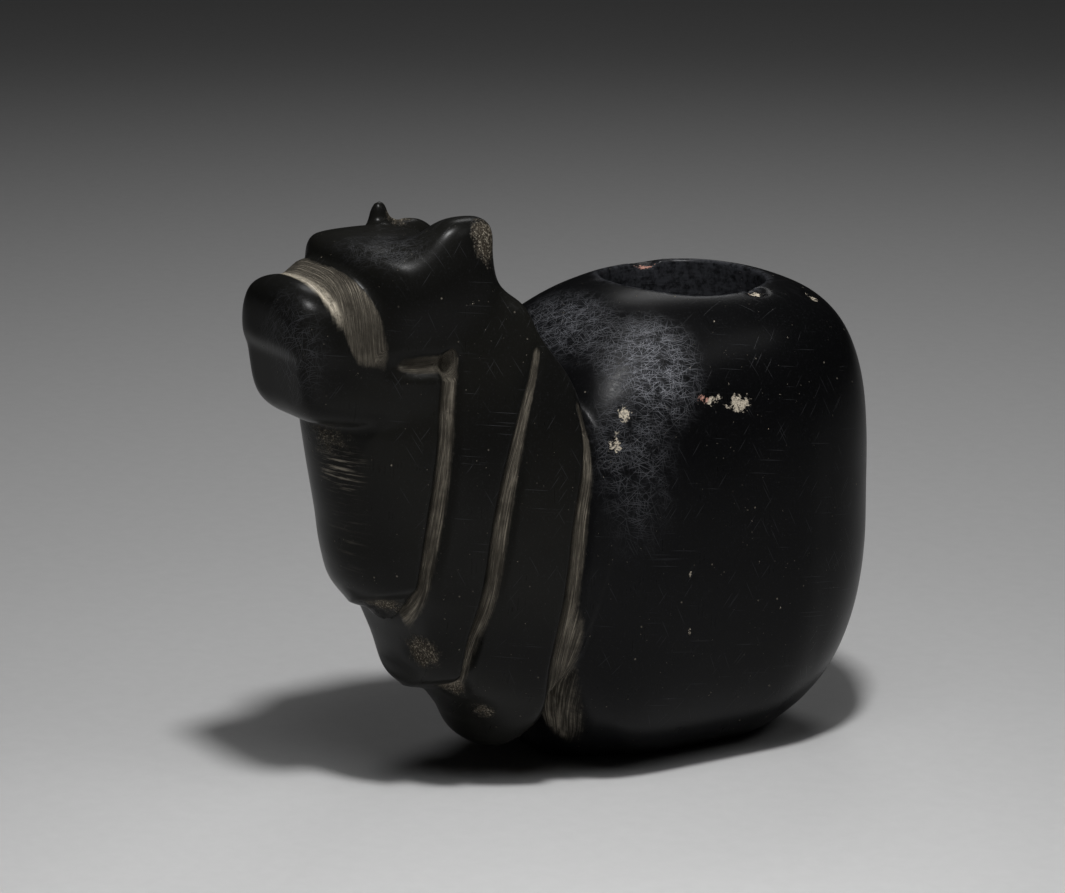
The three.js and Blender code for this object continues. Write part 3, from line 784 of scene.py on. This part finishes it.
class Tree:
    """The node tree of one material, filled by one method."""

    def __init__(self, name: str) -> None:
        """Makes an empty material with that name."""
        self.owner = bpy.data.materials.new(name)
        self.owner.use_nodes = True
        self.owner.node_tree.nodes.clear()

    def node(self, kind: str, settings: dict[str, object], inputs: dict, output: int | str = 0) -> Value:
        """Adds a node.

        Args:
            kind: the node's type.
            settings: properties, which are set first.
            inputs: values or links by the name or number of their sockets.
            output: name or number of the socket that is returned.

        Returns:
            The chosen output.
        """
        made = self.owner.node_tree.nodes.new(kind)
        for key, value in settings.items():
            setattr(made, key, value)
        for key, value in inputs.items():
            if isinstance(value, Value):
                self.owner.node_tree.links.new(value.socket, made.inputs[key])
            else:
                made.inputs[key].default_value = value
        return Value(self, made.outputs[output] if len(made.outputs) else made.inputs[0])

    def mark(self, name: str) -> Value:
        """Reads a mesh attribute."""
        return self.node("ShaderNodeAttribute", {"attribute_name": name}, {}, "Fac")

    def place(self) -> Value:
        """Gives the place on the object in millimetres."""
        where = self.node("ShaderNodeTexCoord", {}, {}, "Object")
        return self.node("ShaderNodeVectorMath", {"operation": "SCALE"}, {0: where, "Scale": 1.0 / MM})

    def along(self, place: Value, direction: Vector) -> Value:
        """How far a place is in one direction."""
        inputs = {0: place, 1: tuple(direction)}
        return self.node("ShaderNodeVectorMath", {"operation": "DOT_PRODUCT"}, inputs, "Value")

    def joined(self, x: Input, y: Input, z: Input) -> Value:
        """Makes a vector of three values."""
        return self.node("ShaderNodeCombineXYZ", {}, {0: x, 1: y, 2: z})

    def noise(self, place: Value, scale: float, detail: float = 2.0, roughness: float = 0.5) -> Value:
        """Noise from 0 to 1, with about scale features a millimetre."""
        inputs = {"Vector": place, "Scale": scale, "Detail": detail, "Roughness": roughness}
        return self.node("ShaderNodeTexNoise", {}, inputs, 0)

    def mixed(self, share: Value, low: Value | Colour, high: Value | Colour) -> Value:
        """Mixes two colours."""
        low, high = (value if isinstance(value, Value) else (*value, 1.0) for value in (low, high))
        settings = {"data_type": "RGBA", "clamp_factor": True}
        return self.node("ShaderNodeMix", settings, {0: share, 6: low, 7: high}, 2)

    def dashes(self, place: Value, facing: Triple, turn: float, length: float, width: float, cell: float) -> Value:
        """Straight fine scratches on the parts of the surface that face one way.

        Args:
            place: place on the object in millimetres.
            facing: normal of the plane that the scratches are drawn on.
            turn: angle of the scratches in that plane, in degrees.
            length: length of a scratch in millimetres.
            width: width of a scratch in millimetres.
            cell: share of its own cell that a scratch takes, so more is denser.

        Returns:
            1 on a scratch and 0 beside it.
        """
        normal = Vector(facing).normalized()
        level = normal.cross(Vector((0.31, 0.95, 0.05))).normalized()
        rise = normal.cross(level)
        angle = math.radians(turn)
        lengthwise = level * math.cos(angle) + rise * math.sin(angle)
        sideways = normal.cross(lengthwise)
        v = self.along(place, lengthwise) * (cell / length)
        u = self.along(place, sideways) * (cell / width)
        settings = {"voronoi_dimensions": "2D"}
        far = self.node("ShaderNodeTexVoronoi", settings, {"Vector": self.joined(u, v, turn), "Scale": 1.0}, 0)
        return 1.0 - far.eased(cell * 0.25, cell * 0.5)

    def surface(self, shader: Value) -> bpy.types.Material:
        """Ends the tree at its output and returns the material."""
        self.node("ShaderNodeOutputMaterial", {}, {"Surface": shader})
        return self.owner


@dataclass(frozen=True)
class PolishedStone:
    """Near-black polished stone with matt carved grooves, scratches and pale mineral specks, with some painted sheen
    and painted light in its colour.
    """

    name: str = "black_stone"
    deep: Colour = (0.0040, 0.0041, 0.0044)
    olive: Colour = (0.0105, 0.0103, 0.0088)
    tan: Colour = (0.56, 0.50, 0.40)
    brown: Colour = (0.075, 0.061, 0.043)
    cream: Colour = (0.72, 0.64, 0.51)
    pink: Colour = (0.64, 0.34, 0.27)
    scratch: Colour = (0.42, 0.43, 0.47)
    # Pale grey for real dust specks, also used for the painted sheen, the painted highlight on the rim and the
    # lighter well wall.
    dust_and_sheen: Colour = (0.115, 0.119, 0.136)
    polish: float = 0.21
    matt: float = 0.72
    mirror: float = 0.11
    bump_height: float = 0.00022

    def striations(self, tree: Tree) -> Value:
        """Fine fibrous streaks that run along the grooves."""
        streak, along = tree.mark("streak"), tree.mark("along")
        fine = tree.noise(tree.joined(streak * 10.0, along * 0.16, 0.0), 1.0, 4.0, 0.7)
        broad = tree.noise(tree.joined(streak * 3.0, along * 0.10, 3.0), 1.0, 2.0, 0.6)
        return (fine * 0.7 + broad * 0.3).eased(0.44, 0.64)

    def scratches(self, tree: Tree, place: Value) -> tuple[Value, Value]:
        """Long fine scratches everywhere, and the dense ones of the worn shoulder."""
        parts = tree.noise(place, 0.16, 2.0)
        side, top, shoulder = (1.0, -0.1, 0.1), (0.1, 0.0, 1.0), (0.62, -0.35, 0.7)
        here, there = parts.eased(0.46, 0.60), parts.eased(0.60, 0.46)
        flank = tree.dashes(place, side, 80.0, 6.0, 0.10, 0.16) * here
        for turn, length in ((25.0, 4.0), (140.0, 3.0)):
            flank = flank.most(tree.dashes(place, side, turn, length, 0.09, 0.12) * there)
        crown = tree.dashes(place, top, 60.0, 4.0, 0.09, 0.14) * here
        crown = crown.most(tree.dashes(place, top, 130.0, 6.0, 0.09, 0.14) * there)
        few = (flank * tree.mark("flank")).most(crown * tree.mark("crown"))
        dense = tree.dashes(place, shoulder, 12.0, 3.0, 0.06, 0.30)
        for turn, length in ((48.0, 2.2), (68.0, 3.4), (86.0, 4.2), (101.0, 3.0), (124.0, 3.4), (160.0, 2.4)):
            dense = dense.most(tree.dashes(place, shoulder, turn, length, 0.06, 0.30))
        return few, dense

    def brushing(self, tree: Tree, place: Value) -> Value:
        """Silky parallel strokes of rubbing, in two directions."""
        across, rise = tree.along(place, Vector((0.45, -0.80, -0.40))), tree.along(place, Vector((0.35, 0.60, -0.72)))
        downward = tree.noise(tree.joined(across * 5.0, rise * 0.35, 1.0), 1.0, 3.0, 0.65)
        slanting = tree.noise(tree.joined((across + rise) * 4.0, (across - rise) * 0.35, 2.0), 1.0, 3.0, 0.65)
        return downward.most(slanting).eased(0.52, 0.72)

    def material(self) -> bpy.types.Material:
        """Builds the finish."""
        tree = Tree(self.name)
        place = tree.place()
        groove, band, rough = tree.mark("groove"), tree.mark("band"), tree.mark("rough")
        wear_and_painted_sheen, cream, pink = tree.mark("wear_and_painted_sheen"), tree.mark("cream"), tree.mark("pink")
        streaks = self.striations(tree)
        few, dense = self.scratches(tree, place)
        ragged = tree.noise(place, 1.0, 5.0, 0.7)
        grit = tree.noise(place, 3.4, 3.0, 0.7)

        cut = (groove * 1.2 + (ragged - 0.5) * 0.4).eased(0.50, 1.10)
        # One wall of each groove is painted lighter than the other, as if lit from one side: painted light over the
        # real matt tan striations.
        lit = cut * (tree.mark("streak").eased(-0.9, 0.5) * 0.7 + 0.3)
        recess = (band + (ragged - 0.5) * 0.6).eased(0.25, 0.8)
        seam = tree.mark("seam") * ragged.eased(0.25, 0.55)
        carved = cut.most(recess)
        patchy = tree.noise(place, 0.22, 3.0, 0.6).eased(0.34, 0.60) * 0.5 + 0.5
        tan_marks_and_lit_walls = (lit.most(recess * 0.7) * (streaks * 0.95 + 0.10) * patchy).most(seam * 1.4)
        worn = (rough + (ragged - 0.5) * 1.3).eased(0.30, 0.80)
        specks = (cream + (ragged - 0.5) * 3.0 - 0.1).eased(0.50, 0.58)
        pitted = tree.node("ShaderNodeTexVoronoi", {}, {"Vector": place, "Scale": 0.42}, "Distance")
        dots = (1.0 - pitted.eased(0.03, 0.08)) * tree.noise(place, 0.11, 1.0).eased(0.48, 0.6)
        fine = tree.node("ShaderNodeTexVoronoi", {}, {"Vector": place, "Scale": 0.9}, "Distance")
        dots = dots.most((1.0 - fine.eased(0.03, 0.09)) * tree.noise(place, 0.17, 2.0).eased(0.46, 0.62) * 0.7)
        # Painted sheen: the shoulder's tone is lifted to a pale grey, standing in for the overhead lamp's soft
        # highlight on the real scratches.
        shoulder_wear_and_sheen = wear_and_painted_sheen * tree.noise(place, 0.5, 3.0, 0.6).eased(0.25, 0.55)
        height, width = tree.along(place, Vector((0.0, 0.0, 1.0))), tree.along(place, Vector((1.0, 0.0, 0.0)))
        level = tree.noise(tree.joined(height * 2.2, width * 0.14, 5.0), 1.0, 4.0, 0.7)
        scuffs = tree.mark("scuff") * level.eased(0.50, 0.68)
        brushing = self.brushing(tree, place)

        clouds = tree.noise(place, 0.06, 2.0).eased(0.30, 0.70)
        turned = tree.noise(tree.joined(height * 1.6, width * 0.12, 9.0), 1.0, 3.0, 0.6).eased(0.40, 0.70)
        # Painted highlight along the well's rim, laid over real wear of its chipped edge.
        edge = tree.mark("rim") * ragged.eased(0.35, 0.60)
        tone = tree.mixed(tree.mark("head") * (clouds * 0.5 + 0.5), self.deep, self.olive)
        tone = tree.mixed(grit.eased(0.55, 0.75) * 0.10, tone, self.dust_and_sheen)
        # The well's inner wall is made lighter in turned rings.
        tone = tree.mixed(tree.mark("bore") * (turned * 0.14 + 0.03), tone, self.dust_and_sheen)
        tone = tree.mixed(edge * 0.3, tone, self.dust_and_sheen)
        tone = tree.mixed(few * 0.05, tone, self.scratch)
        # Painted sheen laid in rubbing strokes, then the real dense scratches over it.
        tone = tree.mixed(shoulder_wear_and_sheen * (brushing * 0.9 + 0.1), tone, self.dust_and_sheen)
        tone = tree.mixed(dense * shoulder_wear_and_sheen, tone, self.scratch)
        tone = tree.mixed(worn.most(carved * 0.4) * (grit * 0.8 + 0.2), tone, self.brown)
        tone = tree.mixed(worn * grit.eased(0.50, 0.66) * 0.65, tone, self.tan)
        tone = tree.mixed(scuffs * 0.7, tone, self.tan)
        # Tan of the matt recess, seam and groove striations, together with the painted light on one wall of each
        # groove.
        tone = tree.mixed(tan_marks_and_lit_walls, tone, self.tan)
        mineral = tree.mixed(pink.eased(0.2, 0.6), self.cream, self.pink)
        tone = tree.mixed(specks * grit.eased(0.30, 0.60), tone, mineral)
        tone = tree.mixed(dots * 0.35, tone, self.tan)

        brushed = tree.noise(tree.joined(tree.along(place, Vector((0.2, 1.0, 0.0))) * 3.0, 0.0, 7.0), 1.0, 2.0)
        sheen = self.polish + 0.10 * tree.noise(place, 0.25, 3.0) + 0.07 * brushed
        dull = carved.most(worn).most(specks).most(dots)
        sheen = sheen + wear_and_painted_sheen * 0.10 + few * 0.08
        gloss = sheen + (self.matt - sheen) * dull
        depth = (grit * worn * 0.9) + (streaks * carved * 0.8) - (few * 0.05) - (dense * shoulder_wear_and_sheen * 0.5)
        depth = depth - (brushing * shoulder_wear_and_sheen * 0.25) - (dots * 0.4) - (specks * grit * 0.8)
        relief = tree.node("ShaderNodeBump", {}, {"Height": depth, "Distance": self.bump_height}, "Normal")
        inputs = {"Base Color": tone, "Roughness": gloss, "Normal": relief, "Specular IOR Level": self.mirror}
        return tree.surface(tree.node("ShaderNodeBsdfPrincipled", {}, inputs))


@dataclass(frozen=True)
class PalePaper:
    """Plain pale matt floor."""

    name: str = "pale_floor"
    low: Colour = (0.60, 0.60, 0.60)
    high: Colour = (0.66, 0.66, 0.66)
    roughness: float = 0.9

    def material(self) -> bpy.types.Material:
        """Builds the finish."""
        tree = Tree(self.name)
        tone = tree.mixed(tree.noise(tree.place(), 0.35, 4.0, 0.6), self.low, self.high)
        inputs = {"Base Color": tone, "Roughness": self.roughness}
        return tree.surface(tree.node("ShaderNodeBsdfPrincipled", {}, inputs))


@dataclass(frozen=True)
class Floor:
    """The round floor that the figure stands on, in metres."""

    radius: float = 4.0
    sides: int = 96

    def build(self) -> bpy.types.Object:
        """Makes the floor."""
        data = bpy.data.meshes.new("floor")
        turns = [math.tau * i / self.sides for i in range(self.sides)]
        rim = [(self.radius * math.cos(turn), self.radius * math.sin(turn), 0.0) for turn in turns]
        data.from_pydata(rim, [], [tuple(range(self.sides))])
        data.materials.append(PalePaper().material())
        piece = bpy.data.objects.new("floor", data)
        bpy.context.scene.collection.objects.link(piece)
        log.info("floor: radius %.1f m", self.radius)
        return piece


@dataclass(frozen=True)
class Lamp:
    """A soft lamp that looks at the figure."""

    name: str
    towards: Triple
    distance: float
    size: float
    power: float
    spread: float = 180.0
    target: Triple = (0.0, -0.02, 0.03)

    def build(self) -> bpy.types.Object:
        """Makes the lamp on the given side of the figure."""
        data = bpy.data.lights.new(self.name, "AREA")
        data.shape = "DISK"
        data.size = self.size
        data.energy = self.power
        data.spread = math.radians(self.spread)
        piece = bpy.data.objects.new(self.name, data)
        back = Vector(self.towards).normalized()
        piece.location = Vector(self.target) + back * self.distance
        piece.rotation_mode = "QUATERNION"
        piece.rotation_quaternion = back.to_track_quat("Z", "Y")
        bpy.context.scene.collection.objects.link(piece)
        log.info("%s: %.2f W", self.name, self.power)
        return piece


@dataclass(frozen=True)
class Studio:
    """Camera, lamps and the dim room round the figure."""

    azimuth: float = 58.0
    elevation: float = 14.5
    distance: float = 0.65
    target: Triple = (-0.0203, -0.01292, 0.0401)
    focal_pixels: float = 4355.0
    sensor: float = 36.0
    room_tone: float = 0.004
    lamps: tuple[Lamp, ...] = (
        Lamp("overhead_key", (0.33, -0.15, 0.932), 0.50, 0.055, 0.83, 134.0),
        Lamp("rear_fill", (-0.50, 0.42, 0.76), 0.60, 0.22, 0.17, 130.0),
        Lamp("side_fill", (0.60, 0.34, 0.73), 0.60, 0.22, 0.06, 120.0),
        Lamp("front_pool", (0.0, 0.0, 1.0), 0.24, 0.15, 0.06, 80.0, (0.107, -0.092, 0.0)),
    )

    def camera(self) -> bpy.types.Object:
        """Makes the camera at the photograph's viewing angle."""
        turn, rise = math.radians(self.azimuth), math.radians(self.elevation)
        back = Vector((math.sin(turn) * math.cos(rise), -math.cos(turn) * math.cos(rise), math.sin(rise)))
        data = bpy.data.cameras.new("camera")
        data.sensor_width = self.sensor
        data.lens = self.sensor * self.focal_pixels / IMAGE_SIZE[0]
        piece = bpy.data.objects.new("camera", data)
        piece.location = Vector(self.target) + back * self.distance
        piece.rotation_mode = "QUATERNION"
        piece.rotation_quaternion = back.to_track_quat("Z", "Y")
        bpy.context.scene.collection.objects.link(piece)
        bpy.context.scene.camera = piece
        log.info("camera: %.0f mm lens", data.lens)
        return piece

    def room(self) -> None:
        """Gives the room round the figure a dim even tone."""
        world = bpy.data.worlds.new("room")
        world.use_nodes = True
        background = world.node_tree.nodes["Background"]
        background.inputs["Color"].default_value = (1.0, 1.0, 1.0, 1.0)
        background.inputs["Strength"].default_value = self.room_tone
        bpy.context.scene.world = world
        bpy.context.scene.view_settings.view_transform = "Standard"

    def build(self) -> None:
        """Sets up the camera, the room and the lamps."""
        self.camera()
        self.room()
        for lamp in self.lamps:
            lamp.build()


def main() -> None:
    """Builds the figure and its studio in order."""
    logging.basicConfig(level=logging.INFO)
    CarvedStone().build()
    Floor().build()
    Studio().build()


if __name__ == "__main__":
    main()
